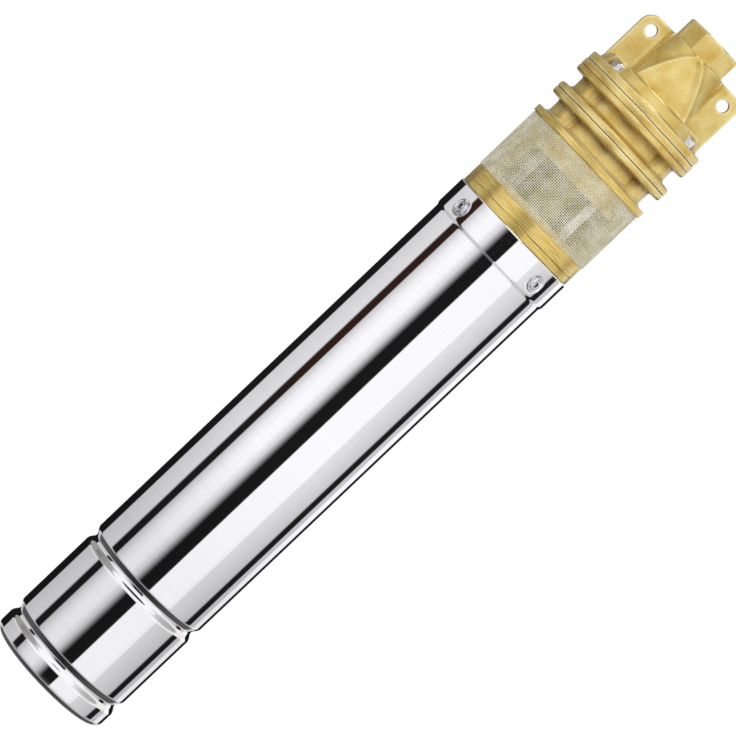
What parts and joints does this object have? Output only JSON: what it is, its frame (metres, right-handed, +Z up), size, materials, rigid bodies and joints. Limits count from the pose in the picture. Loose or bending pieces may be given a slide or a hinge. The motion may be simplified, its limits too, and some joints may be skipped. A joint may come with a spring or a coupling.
{
  "type": "borehole submersible pump",
  "caption": "Slim submersible well pump: polished steel motor tube, mesh intake, brass stage casings and a brass head with lifting lugs and an eight-sided threaded outlet.",
  "frame": {"origin": "on the ground under the shaft, at the middle of the foot", "axes": "+Z up the shaft to the outlet, the two lugs on +X and -X, -Y the front, +Y the cable side"},
  "size_m": [0.098, 0.0978, 0.5923],
  "materials": {
    "polished_stainless": "polished",
    "woven_stainless": "satin",
    "turned_stainless": "turned",
    "plain_steel": "satin",
    "zinc_steel": "zinc plated",
    "bearing_steel": "ground",
    "core_steel": "laminated",
    "painted_cast_iron": "painted",
    "cast_brass": "polished casting",
    "turned_bronze": "turned",
    "winding_copper": "varnished",
    "cast_aluminium": "cast",
    "black_rubber": "matte",
    "cage_nylon": "moulded",
    "white_ceramic": "lapped",
    "seal_carbon": "lapped",
    "gasket_fibre": "plain"
  },
  "bodies": {
    "pump_body": {"motor_shell": "polished_stainless", "bottom_cover": "painted_cast_iron", "cover_seal_ring": "black_rubber", "oil_diaphragm": "black_rubber", "clamp_ring": "plain_steel", "clamp_screws": "zinc_steel", "lower_bracket": "cast_aluminium", "wave_spring": "plain_steel", "lower_bearing_outer": "bearing_steel", "stator_core": "core_steel", "stator_winding": "winding_copper", "upper_bracket": "cast_brass", "bracket_seal_ring": "black_rubber", "upper_bearing_outer": "bearing_steel", "lip_seal": "black_rubber", "oil_plug": "cast_brass", "band_screws": "turned_stainless", "seal_seat": "white_ceramic", "suction_bracket": "cast_brass", "bracket_screws": "turned_stainless", "intake_screen": "woven_stainless", "cable_gland": "cast_brass", "gland_bush": "black_rubber", "gland_nut": "cast_brass", "lower_casing": "cast_brass", "upper_casing": "cast_brass", "stage_gaskets": "gasket_fibre", "casing_bushes": "turned_bronze", "outlet_head": "cast_brass", "head_bolts": "turned_stainless", "bolt_washers": "turned_stainless"},
    "rotor": {"rotor_shaft": "turned_stainless", "rotor_core": "core_steel", "rotor_cage": "cast_aluminium", "lower_bearing_inner": "bearing_steel", "upper_bearing_inner": "bearing_steel", "shaft_circlip": "plain_steel", "seal_face": "seal_carbon", "seal_bellows": "black_rubber", "seal_spring": "turned_stainless", "seal_collar": "turned_stainless", "shaft_spacers": "turned_stainless", "first_impeller": "turned_bronze", "second_impeller": "turned_bronze", "impeller_keys": "turned_stainless", "impeller_washer": "turned_stainless", "impeller_nut": "turned_stainless"},
    "lower_ball_set": {"lower_bearing_balls": "bearing_steel", "lower_bearing_cage": "cage_nylon"},
    "upper_ball_set": {"upper_bearing_balls": "bearing_steel", "upper_bearing_cage": "cage_nylon"}
  },
  "joints": [
    {"name": "rotor_spin", "type": "hinge", "parent": "pump_body", "child": "rotor", "pos_m": [0, 0, 0.237], "axis": [0, 0, 1], "continuous": true},
    {"name": "lower_balls_roll", "type": "hinge", "parent": "pump_body", "child": "lower_ball_set", "pos_m": [0, 0, 0.0965], "axis": [0, 0, 1], "continuous": true},
    {"name": "upper_balls_roll", "type": "hinge", "parent": "pump_body", "child": "upper_ball_set", "pos_m": [0, 0, 0.38], "axis": [0, 0, 1], "continuous": true}
  ],
  "couplings": [
    {"joint": "lower_balls_roll", "follows": "rotor_spin", "ratio": 0.381},
    {"joint": "upper_balls_roll", "follows": "rotor_spin", "ratio": 0.38158}
  ]
}
